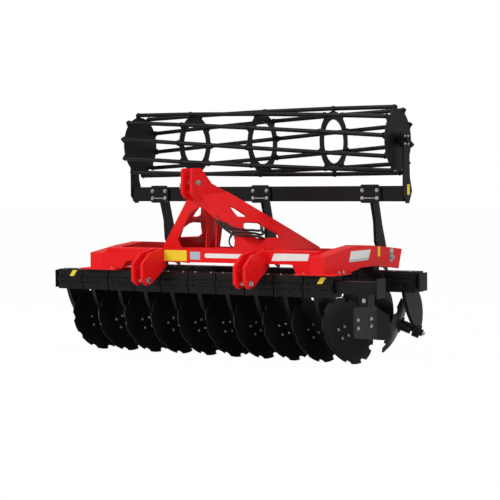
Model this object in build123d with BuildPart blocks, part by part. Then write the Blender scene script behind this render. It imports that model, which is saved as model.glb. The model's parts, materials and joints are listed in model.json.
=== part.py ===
import os
from math import acos, cos, hypot, radians, sin

from build123d import *

# Disc cultivator, carried on a three point hitch, with its cage roller folded up over the frame.
# Millimetres. +X is the machine's left hand in its direction of travel, +Y its rear, +Z up.
# The origin is on the floor below the middle of the parked machine. The tables of outlines hold
# (y, z) pairs, with y counted from the front discs' middles to the rear and z from the floor.
os.makedirs("parts", exist_ok=True)

# Front and rear ends of the machine, which put the origin in its middle
hitch_nose_y = -470.0
wing_tail_y = 1091.0
front_row_y = -(hitch_nose_y + wing_tail_y) / 2

# Disc blades and their rows
discs_per_row = 10
disc_pitch = 250.0
row_stagger = 125.0
row_spacing = 748.0
disc_radius = 255.0
blade_thickness = 6.0
blade_flat_radius = 70.0
dish_depth = 52.0
disc_yaw = 17.3
disc_tilt = 20.4
notch_count = 10
notch_radius = 28.0
notch_offset = 3.0
notch_step = 4.0

# Hub that turns with the blade, on a spindle held in the arm's boss
hub_flange_radius = 62.0
hub_flange_thickness = 12.0
hub_barrel_radius = 42.0
hub_barrel_end = 88.0
seat_gap = 0.3
spindle_radius = 18.0
spindle_clearance = 0.25
spindle_nose = 24.0
boss_radius = 50.0
boss_thickness = 56.0
boss_reach = 133.0
cap_radius = 27.0
cap_thickness = 20.0

# Clamp housings around the toolbars
clamp_height = 158.0
clamp_depth = 147.0
clamp_length = 240.0
clamp_split = 3.0
clamp_shift = 22.0
clamp_lip = 16.0
clamp_lip_thickness = 12.0

# Toolbars, which end a little outside the outermost clamps
toolbar_size = 90.0
toolbar_wall = 8.0
toolbar_z = 570.0
toolbar_lead = 134.0
toolbar_overhang = 25.5
end_plate_size = 140.0
end_plate_thickness = 10.0

# Curved disc arms: a thick plate between the clamp and the spindle boss
arm_thickness = 30.0
arm_top_front = -78.0
arm_top_rear = 142.0
arm_shoulder = 14.0
arm_belly = (250.0, -210.0)
arm_throat = (-28.0, -190.0)

# Red main frame
beam_size = 100.0
front_beam_y = -130.0
front_beam_top_z = 826.0
rear_beam_y = 700.0
rear_beam_top_z = 805.0
side_beam_x = 455.0
side_beam_width = 80.0
side_beam_height = 80.0

# Wings, with the flared webs that lead from their noses to the front crossbeam
wing_inner_x = 932.0
wing_outer_x = 1043.0
wing_wall = 12.0
wing_nose_y = -262.0
wing_nose_top_z = 790.0
wing_fork_y = 738.0
web_root_x = 690.0
web_middle = (812.0, -216.0)
web_bottom_z = 669.0
web_rise_x = 779.0
flange_thickness = 10.0
foot_inner_x = 800.0
foot_outer_x = 1130.0
foot_front_y = -270.0
foot_rear_y = 10.0
foot_thickness = 12.0
foot_top_z = 668.0
seat_depth = 100.0
seat_y = 591.0

# Mast
mast_plate_thickness = 12.0
mast_base_half = 414.0
mast_top_half = 44.0
mast_top_y = -355.0
mast_top_z = 1250.0
mast_window = [
    (-251, 81), (-234, 10), (239, 18), (262, 81), (262, 165),
    (170, 225), (117, 272), (53, 341), (15, 353), (-74, 312),
]
rib_thickness = 12.0
rib_outline = [(-130, 826), (-80, 826), (-20, 1060), (42, 1261), (-184, 1328), (-240, 1268), (-110, 1040)]
ear_thickness = 20.0
ear_gap = 60.0
ear_outline = [
    (-451, 1445), (-339, 1446), (-184, 1328), (-317, 1193), (-434, 1225), (-469, 1258), (-465, 1429),
]
top_pin_y = -400.0
top_pin_z = 1335.0
top_hole_pitch = 66.0
top_pin_radius = 12.5
top_pin_end = 30.0
pin_clearance = 0.2

# Stays from the mast to the rear crossbeam, with their openings
stay_foot_x = 485.0
stay_foot_y = 750.0
stay_top_edge = [(930, 15), (691, 208), (313, 495), (62, 678)]
stay_openings = [
    [(79, 450), (126, 434), (211, 356), (178, 338), (86, 342), (76, 404)],
    [(113, 281), (166, 288), (307, 280), (360, 236), (474, 156), (454, 126), (137, 128), (66, 236)],
    [(125, -20), (270, -20), (250, 16), (135, 22)],
]

# Lower hitch
hitch_half_width = 452.6
hitch_gap = 60.0
hitch_ear_thickness = 24.0
hitch_pin_y = -405.0
hitch_pin_z = 592.0
hitch_pin_radius = 14.0
hitch_pin_end = 22.0
hitch_hole_rise = 100.0

# Side deflector on its post
deflector_x = 1360.0
deflector_thickness = 8.0
deflector_fold_y = -60.0
deflector_bend = 20.0
post_width = 70.0
post_depth = 100.0
post_bottom_z = 320.0

# Roller carrier
fold_pivot_y = 885.0
fold_pivot_z = 740.0
fold_pin_radius = 17.0
fold_pin_end = 18.0
roller_arm_x = 981.0
roller_arm_thickness = 24.0
roller_arm_clearance = 6.0
arm_plate_gap = 0.3
roller_beam_y = 705.0
roller_beam_z = 1241.0
roller_beam_size = 120.0
side_plate_x = 1265.0
side_plate_thickness = 12.0
clamp_plate_width = 190.0
clamp_plate_height = 144.0
clamp_plate_thickness = 20.0
clamp_plate_chamfer = 28.0
bearing_radius = 58.0
bearing_length = 34.0

# Roller cage
roller_y = 680.0
roller_z = 1653.0
roller_plate_x = (-1199.0, -647.0, 0.0, 647.0, 1199.0)
roller_plate_thickness = 8.0
roller_plate_radius = 238.0
roller_bar_circle = 258.0
roller_bar_radius = 17.0
roller_lobe_radius = 27.0
roller_lobe_circle = 243.0
roller_bars = 10
roller_twist = 40.0
roller_phase = 29.0
ring_hole_radius = 172.0
roller_shaft_radius = 25.0
shaft_end = 18.0


def at(y):
    """Y in the model, from a distance behind the front disc row's centres."""
    return front_row_y + y


def side_plane(x):
    """Plane across the machine at x, whose own x is the rear and own y is up."""
    return Plane(origin=(x, 0, 0), x_dir=(0, 1, 0), z_dir=(1, 0, 0))


def placed(outline):
    """Outline in the model's (y, z), from pairs counted from the front disc row."""
    return [(at(y), z) for y, z in outline]


# The disc's middle stands so high that the lowest point of its tilted rim is on the floor
yaw = radians(disc_yaw)
tilt = radians(disc_tilt)
dish_run = disc_radius - blade_flat_radius
dish_sphere = (dish_run ** 2 + dish_depth ** 2) / (2 * dish_depth)
disc_z = disc_radius * cos(tilt) - dish_depth * sin(tilt)
rows = (("front", front_row_y, 1), ("rear", front_row_y + row_spacing, -1))
clamp_top_z = toolbar_z + clamp_height / 2

# Half the toolbar: to the outermost arm, its clamp and the overhang
outer_disc_x = (discs_per_row - 1) * disc_pitch / 2 + row_stagger / 2
outer_clamp_x = outer_disc_x + boss_reach * cos(tilt) * cos(yaw) - clamp_shift + clamp_length / 2
toolbar_half = outer_clamp_x + toolbar_overhang


def disc_x(side, number):
    """Middle of one disc across the machine, for the front row (side 1) or the rear row (side -1)."""
    return side * (number * disc_pitch - outer_disc_x)


def disc_plane(side, x, y):
    """Plane of one disc: its own z points out of the hollow face, which looks forwards and up."""
    normal = (side * cos(tilt) * cos(yaw), -cos(tilt) * sin(yaw), sin(tilt))
    return Plane(origin=(x, y, disc_z), x_dir=(sin(yaw), side * cos(yaw), 0), z_dir=normal)


def rim_point(inner):
    """End of the dished part of the blade's section, on its outer or inner skin."""
    radius = dish_sphere - inner * blade_thickness
    angle = radians(90) - acos(dish_run / dish_sphere)
    return (blade_flat_radius + radius * sin(angle), dish_sphere - radius * cos(angle))


def make_disc(row, number, side, x, y):
    """One notched blade with the hub that is bolted to its back."""
    plane = disc_plane(side, x, y)
    section = Plane(origin=plane.origin, x_dir=plane.x_dir, z_dir=-plane.y_dir)
    turn = Axis(plane.origin, plane.z_dir)
    outer_rim = rim_point(0)
    inner_rim = rim_point(1)
    phase = notch_step * ((number * 3) % 5 - 2)
    with BuildPart() as disc:
        with BuildSketch(section):
            with BuildLine():
                Line((0, 0), (blade_flat_radius, 0))
                TangentArc((blade_flat_radius, 0), outer_rim, tangent=(1, 0))
                Line(outer_rim, inner_rim)
                TangentArc((blade_flat_radius, blade_thickness), inner_rim, tangent=(1, 0))
                Line((blade_flat_radius, blade_thickness), (0, blade_thickness))
                Line((0, blade_thickness), (0, 0))
            make_face()
        revolve(axis=turn)
        with BuildSketch(plane.offset(blade_thickness * 2)):
            with PolarLocations(disc_radius + notch_offset, notch_count, start_angle=phase + 90 - 180 / notch_count):
                Circle(notch_radius)
        extrude(amount=dish_depth * 2, mode=Mode.SUBTRACT)
        with BuildSketch(plane.offset(-seat_gap)):
            Circle(hub_flange_radius)
        extrude(amount=-(hub_flange_thickness - seat_gap))
        with BuildSketch(plane.offset(-hub_flange_thickness)):
            Circle(hub_barrel_radius)
        extrude(amount=-(hub_barrel_end - hub_flange_thickness))
        with BuildSketch(plane.offset(-(spindle_nose - 2))):
            Circle(spindle_radius + spindle_clearance)
        extrude(amount=-hub_barrel_end, mode=Mode.SUBTRACT)
    disc.part.label = f"{row}_disc_{number + 1:02d}"
    export_step(disc.part, f"parts/{row}_disc_{number + 1:02d}.step")


def make_arms(row, side, y):
    """The row's curved arms, each a thick plate with a boss square to its spindle."""
    toolbar_y = y - toolbar_lead
    top_z = toolbar_z - clamp_height / 2
    with BuildPart() as arms:
        for number in range(discs_per_row):
            plane = disc_plane(side, disc_x(side, number), y)
            foot = plane.offset(-boss_reach).origin
            front_low = (foot.Y - boss_radius * 0.8, foot.Z + boss_radius * 0.6)
            rear_low = (foot.Y + boss_radius * 0.96, foot.Z + boss_radius * 0.2)
            front_top = (toolbar_y + arm_top_front, top_z)
            rear_top = (toolbar_y + arm_top_rear, top_z + arm_shoulder)
            with BuildSketch(side_plane(foot.X - arm_thickness / 2)):
                with BuildLine():
                    Line(front_top, (toolbar_y + clamp_depth / 2, top_z))
                    Line((toolbar_y + clamp_depth / 2, top_z), rear_top)
                    ThreePointArc(rear_top, (toolbar_y + arm_belly[0], toolbar_z + arm_belly[1]), rear_low)
                    Line(rear_low, front_low)
                    ThreePointArc(front_low, (toolbar_y + arm_throat[0], toolbar_z + arm_throat[1]), front_top)
                make_face()
            extrude(amount=arm_thickness)
            with BuildSketch(plane.offset(-boss_reach - boss_thickness / 2)):
                Circle(boss_radius)
            extrude(amount=boss_thickness)
            with BuildSketch(plane.offset(-boss_reach - boss_thickness)):
                Circle(spindle_radius + pin_clearance)
            extrude(amount=2 * boss_thickness, mode=Mode.SUBTRACT)
    arms.part.label = f"{row}_arms"
    export_step(arms.part, f"parts/{row}_arms.step")


def make_spindles(row, side, y):
    """The row's spindles, from inside the hubs through the arms' bosses to their caps."""
    cap_start = boss_reach + boss_thickness / 2 + seat_gap
    with BuildPart() as spindles:
        for number in range(discs_per_row):
            plane = disc_plane(side, disc_x(side, number), y)
            with BuildSketch(plane.offset(-spindle_nose)):
                Circle(spindle_radius)
            extrude(amount=-(cap_start - spindle_nose))
            with BuildSketch(plane.offset(-cap_start)):
                Circle(cap_radius)
            extrude(amount=-cap_thickness)
    spindles.part.label = f"{row}_spindles"
    export_step(spindles.part, f"parts/{row}_spindles.step")


def make_toolbar(row, y):
    """Square tube across the machine, below the wings."""
    bore = toolbar_size - 2 * toolbar_wall
    with BuildPart() as toolbar:
        with BuildSketch(side_plane(-toolbar_half)):
            with Locations((y - toolbar_lead, toolbar_z)):
                Rectangle(toolbar_size, toolbar_size)
                Rectangle(bore, bore, mode=Mode.SUBTRACT)
        extrude(amount=2 * toolbar_half)
    toolbar.part.label = f"{row}_toolbar"
    export_step(toolbar.part, f"parts/{row}_toolbar.step")


def make_clamps(row, side, y):
    """The row's clamp housings, each an upper and a lower half shell around the toolbar."""
    toolbar_y = y - toolbar_lead
    hole = toolbar_size + 2 * pin_clearance
    shell_height = (clamp_height - clamp_split) / 2
    shell_middle = (clamp_height + clamp_split) / 4
    with BuildPart() as clamps:
        for number in range(discs_per_row):
            foot = disc_plane(side, disc_x(side, number), y).offset(-boss_reach).origin
            with BuildSketch(side_plane(foot.X + side * clamp_shift - clamp_length / 2)):
                for up in (1, -1):
                    with Locations((toolbar_y, toolbar_z + up * shell_middle)):
                        Rectangle(clamp_depth, shell_height)
                    with Locations((toolbar_y, toolbar_z + up * (clamp_split + clamp_lip_thickness) / 2)):
                        Rectangle(clamp_depth + 2 * clamp_lip, clamp_lip_thickness)
                with Locations((toolbar_y, toolbar_z)):
                    Rectangle(hole, hole, mode=Mode.SUBTRACT)
            extrude(amount=clamp_length)
    clamps.part.label = f"{row}_clamps"
    export_step(clamps.part, f"parts/{row}_clamps.step")


for row, y, side in rows:
    for number in range(discs_per_row):
        make_disc(row, number, side, disc_x(side, number), y)
    make_arms(row, side, y)
    make_spindles(row, side, y)
    make_toolbar(row, y)
    make_clamps(row, side, y)

# End plates that close the toolbars
with BuildPart() as end_plates:
    for row, y, side in rows:
        for x in (-toolbar_half - end_plate_thickness, toolbar_half):
            with BuildSketch(side_plane(x)):
                with Locations((y - toolbar_lead, toolbar_z)):
                    Rectangle(end_plate_size, end_plate_size)
            extrude(amount=end_plate_thickness)
end_plates.part.label = "toolbar_end_plates"
export_step(end_plates.part, "parts/toolbar_end_plates.step")

# Front and rear crossbeams of the red frame, between the two wings
with BuildPart() as front_beam:
    with BuildSketch(side_plane(-wing_inner_x)):
        with Locations((at(front_beam_y), front_beam_top_z - beam_size / 2)):
            Rectangle(beam_size, beam_size)
    extrude(amount=2 * wing_inner_x)
front_beam.part.label = "front_crossbeam"
export_step(front_beam.part, "parts/front_crossbeam.step")

with BuildPart() as rear_beam:
    with BuildSketch(side_plane(-wing_inner_x)):
        with Locations((at(rear_beam_y), rear_beam_top_z - beam_size / 2)):
            Rectangle(beam_size, beam_size)
    extrude(amount=2 * wing_inner_x)
rear_beam.part.label = "rear_crossbeam"
export_step(rear_beam.part, "parts/rear_crossbeam.step")

# Wings: long box sections with a fork at the tail for the roller's arm, a foot plate under the nose
# and a curved web from the nose to the front crossbeam
beam_front_y = front_beam_y - beam_size / 2
beam_back_y = front_beam_y + beam_size / 2
wing_outline = [
    (wing_nose_y, 664), (wing_nose_y, wing_nose_top_z), (75, 835), (323, 856), (603, 841),
    (wing_tail_y, 796), (1027, 641), (641, 683), (341, 683), (203, 663),
]
wing_width = wing_outer_x - wing_inner_x
fork_length = wing_tail_y - wing_fork_y + wing_wall
for name, side in (("left", -1), ("right", 1)):
    start = min(side * wing_inner_x, side * wing_outer_x)
    nose = (side * wing_inner_x, at(wing_nose_y))
    nose_back = (side * wing_inner_x, at(wing_nose_y + wing_wall))
    root = (side * web_root_x, at(beam_front_y))
    root_back = (side * (web_root_x + 2 * wing_wall), at(beam_front_y))
    middle = (side * web_middle[0], at(web_middle[1]))
    middle_back = (side * (web_middle[0] + wing_wall / 2), at(web_middle[1] + wing_wall))
    with BuildPart() as wing:
        with BuildSketch(side_plane(start)):
            with BuildLine():
                Polyline(placed(wing_outline), close=True)
            make_face()
        extrude(amount=wing_width)
        with BuildSketch(side_plane(start + wing_wall)):
            with Locations((at(wing_fork_y) + fork_length / 2, fold_pivot_z)):
                Rectangle(fork_length, 4 * side_beam_height)
        extrude(amount=wing_width - 2 * wing_wall, mode=Mode.SUBTRACT)
        with BuildSketch(side_plane(start)):
            with Locations((at(fold_pivot_y), fold_pivot_z)):
                Circle(fold_pin_radius + pin_clearance)
        extrude(amount=wing_width, mode=Mode.SUBTRACT)
        with BuildSketch(Plane.XY.offset(foot_top_z - foot_thickness)):
            with Locations((side * (foot_inner_x + foot_outer_x) / 2, at((foot_front_y + foot_rear_y) / 2))):
                Rectangle(foot_outer_x - foot_inner_x, foot_rear_y - foot_front_y)
        extrude(amount=foot_thickness)
        with BuildSketch(Plane.XY.offset(web_bottom_z - seat_gap * 5)):
            with BuildLine():
                ThreePointArc(nose, middle, root)
                Line(root, root_back)
                ThreePointArc(root_back, middle_back, nose_back)
                Line(nose_back, nose)
            make_face()
        extrude(amount=wing_nose_top_z - web_bottom_z + seat_gap * 5)
        with BuildSketch(Plane.XY.offset(wing_nose_top_z - flange_thickness)):
            with BuildLine():
                ThreePointArc(nose, middle, root)
                Line(root, (nose[0], root[1]))
                Line((nose[0], root[1]), nose)
            make_face()
        extrude(amount=flange_thickness)
        with BuildSketch(Plane.XZ.offset(-at(beam_front_y))):
            with BuildLine():
                Polyline(
                    (side * (web_root_x - wing_wall), web_bottom_z - wing_wall),
                    (side * web_rise_x, web_bottom_z - wing_wall),
                    (side * web_rise_x, web_bottom_z),
                    (side * (web_rise_x - 3 * wing_wall), front_beam_top_z - beam_size),
                    (side * (web_root_x - wing_wall), front_beam_top_z - beam_size),
                    close=True,
                )
            make_face()
        extrude(amount=beam_size, mode=Mode.SUBTRACT)
    wing.part.label = f"wing_{name}"
    export_step(wing.part, f"parts/wing_{name}.step")

# Black seats between the clamps and the wings: a thin plate under each foot, a block at the rear
with BuildPart() as wing_seats:
    for side in (-1, 1):
        foot_x = side * (foot_inner_x + foot_outer_x) / 2
        with BuildSketch(Plane.XY.offset(clamp_top_z)):
            with Locations((foot_x, at(-toolbar_lead))):
                Rectangle(foot_outer_x - foot_inner_x, clamp_depth)
        extrude(amount=foot_top_z - foot_thickness - clamp_top_z)
        with BuildSketch(Plane.XY.offset(clamp_top_z)):
            with Locations((side * (wing_inner_x + wing_outer_x) / 2, at(seat_y))):
                Rectangle(wing_width + 2 * wing_wall, seat_depth)
        extrude(amount=wing_outline[-3][1] - clamp_top_z)
wing_seats.part.label = "wing_seats"
export_step(wing_seats.part, "parts/wing_seats.step")

# Side beams from the front crossbeam to the rear one
with BuildPart() as side_beams:
    for side in (-1, 1):
        with BuildSketch(Plane.XZ.offset(-at(beam_back_y))):
            with Locations((side * side_beam_x, rear_beam_top_z - side_beam_height / 2)):
                Rectangle(side_beam_width, side_beam_height)
        extrude(amount=-(rear_beam_y - beam_size / 2 - beam_back_y))
side_beams.part.label = "side_beams"
export_step(side_beams.part, "parts/side_beams.step")

# Mast: a front plate that leans forwards, with a large window, on the front crossbeam's front edge
lean = Vector(0, mast_top_y - beam_front_y, mast_top_z - front_beam_top_z)
mast_height = lean.length
mast_plane = Plane(
    origin=(0, at(beam_front_y), front_beam_top_z),
    x_dir=(1, 0, 0),
    z_dir=Vector(1, 0, 0).cross(lean.normalized()),
)
with BuildPart() as mast_plate:
    with BuildSketch(mast_plane):
        with BuildLine():
            Polyline(
                (-mast_base_half, 0), (mast_base_half, 0),
                (mast_top_half, mast_height), (-mast_top_half, mast_height), close=True,
            )
        make_face()
        with BuildLine():
            Polyline(mast_window, close=True)
        make_face(mode=Mode.SUBTRACT)
    extrude(amount=-mast_plate_thickness)
    with BuildSketch(Plane.XY.offset(front_beam_top_z)):
        with Locations((0, at(beam_front_y))):
            Rectangle(2 * mast_base_half, beam_size)
    extrude(amount=-beam_size, mode=Mode.SUBTRACT)
mast_plate.part.label = "mast_front_plate"
export_step(mast_plate.part, "parts/mast_front_plate.step")

# Two ears for the top link, over the plate's top edge, and two ribs from them down to the crossbeam
with BuildPart() as ears:
    for side in (-1, 1):
        with BuildSketch(side_plane(side * (ear_gap + ear_thickness) / 2 - ear_thickness / 2)):
            with BuildLine():
                Polyline(placed(ear_outline), close=True)
            make_face()
            for hole in (-1, 0, 1):
                with Locations((at(top_pin_y), top_pin_z + hole * top_hole_pitch)):
                    Circle(top_pin_radius + pin_clearance, mode=Mode.SUBTRACT)
        extrude(amount=ear_thickness)
    add(mast_plate.part, mode=Mode.SUBTRACT)
ears.part.label = "top_link_ears"
export_step(ears.part, "parts/top_link_ears.step")

rib_x = ear_gap / 2 + ear_thickness - rib_thickness / 2
with BuildPart() as ribs:
    for side in (-1, 1):
        with BuildSketch(side_plane(side * rib_x - rib_thickness / 2)):
            with BuildLine():
                Polyline(placed(rib_outline), close=True)
            make_face()
        extrude(amount=rib_thickness)
    add(ears.part, mode=Mode.SUBTRACT)
    add(mast_plate.part, mode=Mode.SUBTRACT)
ribs.part.label = "mast_ribs"
export_step(ribs.part, "parts/mast_ribs.step")

top_pin_half = ear_gap / 2 + ear_thickness + top_pin_end
with BuildPart() as top_pin:
    with BuildSketch(side_plane(-top_pin_half)):
        with Locations((at(top_pin_y), top_pin_z)):
            Circle(top_pin_radius)
    extrude(amount=2 * top_pin_half)
top_pin.part.label = "top_link_pin"
export_step(top_pin.part, "parts/top_link_pin.step")

# Stays: the mast plate's sheet bent back along its sloping edge, down to the rear crossbeam
for name, side in (("left", -1), ("right", 1)):
    bend_low = Vector(side * mast_base_half, at(beam_front_y), front_beam_top_z)
    bend_high = Vector(side * mast_top_half, at(mast_top_y), mast_top_z)
    rear_foot = Vector(side * stay_foot_x, at(stay_foot_y), rear_beam_top_z)
    bend_low = bend_low - (bend_high - bend_low).normalized() * mast_plate_thickness
    along = (rear_foot - bend_low).normalized()
    face_normal = along.cross(bend_high - bend_low).normalized()
    stay_plane = Plane(origin=bend_low, x_dir=along, z_dir=face_normal)
    top = stay_plane.to_local_coords(bend_high)
    with BuildPart() as stay:
        with BuildSketch(stay_plane):
            with BuildLine():
                Polyline([(0, 0), (stay_top_edge[0][0], 0)] + stay_top_edge + [(top.X, top.Y)], close=True)
            make_face()
            for opening in stay_openings:
                with BuildLine():
                    Polyline(opening, close=True)
                make_face(mode=Mode.SUBTRACT)
        extrude(amount=-side * mast_plate_thickness)
        for neighbour in (mast_plate, ears, ribs, front_beam, rear_beam, side_beams):
            add(neighbour.part, mode=Mode.SUBTRACT)
        with BuildSketch(mast_plane):
            Rectangle(4 * mast_base_half, 4 * mast_height)
        extrude(amount=beam_size, mode=Mode.SUBTRACT)
        with BuildSketch(Plane.XY.offset(front_beam_top_z)):
            with Locations((0, at(beam_front_y))):
                Rectangle(2 * rib_x + rib_thickness, 2 * mast_height)
        extrude(amount=mast_top_z, mode=Mode.SUBTRACT)
    stay.part.label = f"mast_stay_{name}"
    export_step(stay.part, f"parts/mast_stay_{name}.step")
    print(name, "stay solids", len(stay.part.solids()), "volume", round(stay.part.volume))

# Lower hitch: two ears on each side of the front crossbeam, with a pin across them
beam_bottom_z = front_beam_top_z - beam_size
hitch_outline = [
    (beam_front_y, front_beam_top_z), (-360, 800), (-445, 742), (hitch_nose_y, 722), (hitch_nose_y, 590),
    (-414, 554), (-345, 568), (-115, 703), (-115, beam_bottom_z), (beam_front_y, beam_bottom_z),
]
with BuildPart() as hitch:
    for side in (-1, 1):
        for ear in (-1, 1):
            x = side * hitch_half_width + ear * (hitch_gap + hitch_ear_thickness) / 2 - hitch_ear_thickness / 2
            with BuildSketch(side_plane(x)):
                with BuildLine():
                    Polyline(placed(hitch_outline), close=True)
                make_face()
                for rise in (0, hitch_hole_rise):
                    with Locations((at(hitch_pin_y), hitch_pin_z + rise)):
                        Circle(hitch_pin_radius + pin_clearance, mode=Mode.SUBTRACT)
            extrude(amount=hitch_ear_thickness)
hitch.part.label = "lower_hitch_ears"
export_step(hitch.part, "parts/lower_hitch_ears.step")

hitch_pin_half = hitch_gap / 2 + hitch_ear_thickness + hitch_pin_end
with BuildPart() as hitch_pins:
    for side in (-1, 1):
        with BuildSketch(side_plane(side * hitch_half_width - hitch_pin_half)):
            with Locations((at(hitch_pin_y), hitch_pin_z)):
                Circle(hitch_pin_radius)
        extrude(amount=2 * hitch_pin_half)
hitch_pins.part.label = "lower_hitch_pins"
export_step(hitch_pins.part, "parts/lower_hitch_pins.step")

# Side deflector, bent outwards at the rear, on a post that hangs from the front toolbar's end
bend = radians(deflector_bend)
bent_plane = Plane(
    origin=(deflector_x, at(deflector_fold_y), 0),
    x_dir=(sin(bend), cos(bend), 0),
    z_dir=(cos(bend), -sin(bend), 0),
)
with BuildPart() as deflector:
    with BuildSketch(side_plane(deflector_x)):
        with BuildLine():
            Polyline(
                placed([(-434, 238), (-432, 450), (-74, 433), (deflector_fold_y, 426), (deflector_fold_y, 189)]),
                close=True,
            )
        make_face()
    extrude(amount=deflector_thickness)
    with BuildSketch(bent_plane):
        with BuildLine():
            Polyline((-2, 426), (129, 359), (153, 195), (68, 181), (-2, 189), close=True)
        make_face()
    extrude(amount=deflector_thickness)
deflector.part.label = "side_deflector"
export_step(deflector.part, "parts/side_deflector.step")

with BuildPart() as post:
    with BuildSketch(Plane.XY.offset(post_bottom_z)):
        with Locations((deflector_x - post_width / 2, at(-toolbar_lead))):
            Rectangle(post_width, post_depth)
    extrude(amount=toolbar_z - toolbar_size / 2 - post_bottom_z)
post.part.label = "deflector_post"
export_step(post.part, "parts/deflector_post.step")

# Roller carrier: three bent arms, the square beam, clamp plates and an end plate for each shaft end
arm_top_z = roller_beam_z - roller_beam_size / 2
arm_front = [(861, 666), (726, 862), (711, 1024), (657, arm_top_z)]
arm_rear = [(775, arm_top_z), (837, 988), (904, 829), (935, 628)]
with BuildPart() as roller_arms:
    for x in (-roller_arm_x, 0, roller_arm_x):
        with BuildSketch(side_plane(x - roller_arm_thickness / 2)):
            with BuildLine():
                Polyline(placed(arm_front + arm_rear), close=True)
            make_face()
            with Locations((at(fold_pivot_y), fold_pivot_z)):
                Circle(fold_pin_radius + spindle_clearance, mode=Mode.SUBTRACT)
        extrude(amount=roller_arm_thickness)
roller_arms.part.label = "roller_arms"
export_step(roller_arms.part, "parts/roller_arms.step")

roller_beam_half = side_plate_x - side_plate_thickness / 2
with BuildPart() as roller_beam:
    with BuildSketch(side_plane(-roller_beam_half)):
        with Locations((at(roller_beam_y), roller_beam_z)):
            Rectangle(roller_beam_size, roller_beam_size)
    extrude(amount=2 * roller_beam_half)
roller_beam.part.label = "roller_beam"
export_step(roller_beam.part, "parts/roller_beam.step")

with BuildPart() as clamp_plates:
    with BuildSketch(Plane.XZ.offset(-at(roller_beam_y - roller_beam_size / 2))) as plates_sketch:
        with Locations((-roller_arm_x, roller_beam_z), (0, roller_beam_z), (roller_arm_x, roller_beam_z)):
            Rectangle(clamp_plate_width, clamp_plate_height)
        chamfer(plates_sketch.vertices(), length=clamp_plate_chamfer)
    extrude(amount=clamp_plate_thickness)
clamp_plates.part.label = "roller_clamp_plates"
export_step(clamp_plates.part, "parts/roller_clamp_plates.step")

side_plate_outline = [
    (631, 1391), (631, 1227), (690, 1166), (730, 1166), (785, 1261), (745, 1365),
    (740, 1454), (734, 1680), (712, 1712), (648, 1712), (626, 1680),
]
with BuildPart() as side_plates:
    for side in (-1, 1):
        with BuildSketch(side_plane(side * side_plate_x - side_plate_thickness / 2)):
            with BuildLine():
                Polyline(placed(side_plate_outline), close=True)
            make_face()
            with Locations((at(roller_y), roller_z)):
                Circle(roller_shaft_radius + spindle_clearance, mode=Mode.SUBTRACT)
        extrude(amount=side_plate_thickness)
side_plates.part.label = "roller_side_plates"
export_step(side_plates.part, "parts/roller_side_plates.step")

# Bearings on the inner sides of the end plates, around the roller's shaft stubs
with BuildPart() as bearings:
    for side in (-1, 1):
        with BuildSketch(side_plane(side * roller_beam_half)):
            with Locations((at(roller_y), roller_z)):
                Circle(bearing_radius)
                Circle(roller_shaft_radius + spindle_clearance, mode=Mode.SUBTRACT)
        extrude(amount=-side * bearing_length)
bearings.part.label = "roller_bearings"
export_step(bearings.part, "parts/roller_bearings.step")

# Middle bracket on the rear crossbeam, a fork for the middle roller arm, and the fold pins
fork_inner = roller_arm_thickness / 2 + roller_arm_clearance
rear_beam_back_y = rear_beam_y + beam_size / 2
fork_outline = [
    (rear_beam_back_y, 712), (rear_beam_back_y, rear_beam_top_z), (905, 800), (942, 770), (942, 712), (905, 690),
]
with BuildPart() as middle_fork:
    for side in (-1, 1):
        with BuildSketch(side_plane(side * fork_inner)):
            with BuildLine():
                Polyline(placed(fork_outline), close=True)
            make_face()
            with Locations((at(fold_pivot_y), fold_pivot_z)):
                Circle(fold_pin_radius + pin_clearance, mode=Mode.SUBTRACT)
        extrude(amount=side * wing_wall)
middle_fork.part.label = "middle_fork"
export_step(middle_fork.part, "parts/middle_fork.step")

wing_middle_x = (wing_inner_x + wing_outer_x) / 2
fold_pin_half = wing_width / 2 + fold_pin_end
middle_pin_half = fork_inner + wing_wall + fold_pin_end
with BuildPart() as fold_pins:
    for x, half in ((-wing_middle_x, fold_pin_half), (0, middle_pin_half), (wing_middle_x, fold_pin_half)):
        with BuildSketch(side_plane(x - half)):
            with Locations((at(fold_pivot_y), fold_pivot_z)):
                Circle(fold_pin_radius)
        extrude(amount=2 * half)
fold_pins.part.label = "fold_pins"
export_step(fold_pins.part, "parts/fold_pins.step")


def bar_angle(bar, x):
    """Angle of one of the winding bars around the roller's axis, in the section at x."""
    turn = roller_twist * (x - roller_plate_x[0]) / (roller_plate_x[-1] - roller_plate_x[0])
    return radians(bar * 360 / roller_bars + roller_phase - turn)


def around(bar, x, radius):
    """Point at a radius on a bar's angle, in the model's (y, z)."""
    angle = bar_angle(bar, x)
    return (at(roller_y) + radius * sin(angle), roller_z + radius * cos(angle))


# Roller cage: a lobed plate at each end, three lobed rings between them, and bars that wind around
with BuildPart() as roller_plates:
    for index, x in enumerate(roller_plate_x):
        with BuildSketch(side_plane(x - roller_plate_thickness / 2)):
            with Locations((at(roller_y), roller_z)):
                Circle(roller_plate_radius)
            with Locations([around(bar, x, roller_lobe_circle) for bar in range(roller_bars)]):
                Circle(roller_lobe_radius)
            if 0 < index < len(roller_plate_x) - 1:
                with Locations((at(roller_y), roller_z)):
                    Circle(ring_hole_radius, mode=Mode.SUBTRACT)
        extrude(amount=roller_plate_thickness)
roller_plates.part.label = "roller_plates"
export_step(roller_plates.part, "parts/roller_plates.step")

with BuildPart() as bar_spans:
    for x0, x1 in zip(roller_plate_x[:-1], roller_plate_x[1:]):
        start_x = x0 + roller_plate_thickness / 2
        end_x = x1 - roller_plate_thickness / 2
        for bar in range(roller_bars):
            start = around(bar, x0, roller_bar_circle)
            end = around(bar, x1, roller_bar_circle)
            run = Vector(end_x - start_x, end[0] - start[0], end[1] - start[1])
            with BuildSketch(side_plane(start_x)):
                with Locations(start):
                    Circle(roller_bar_radius)
            extrude(amount=run.length, dir=run.normalized())
bar_spans.part.label = "roller_bars"
export_step(bar_spans.part, "parts/roller_bars.step")

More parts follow.
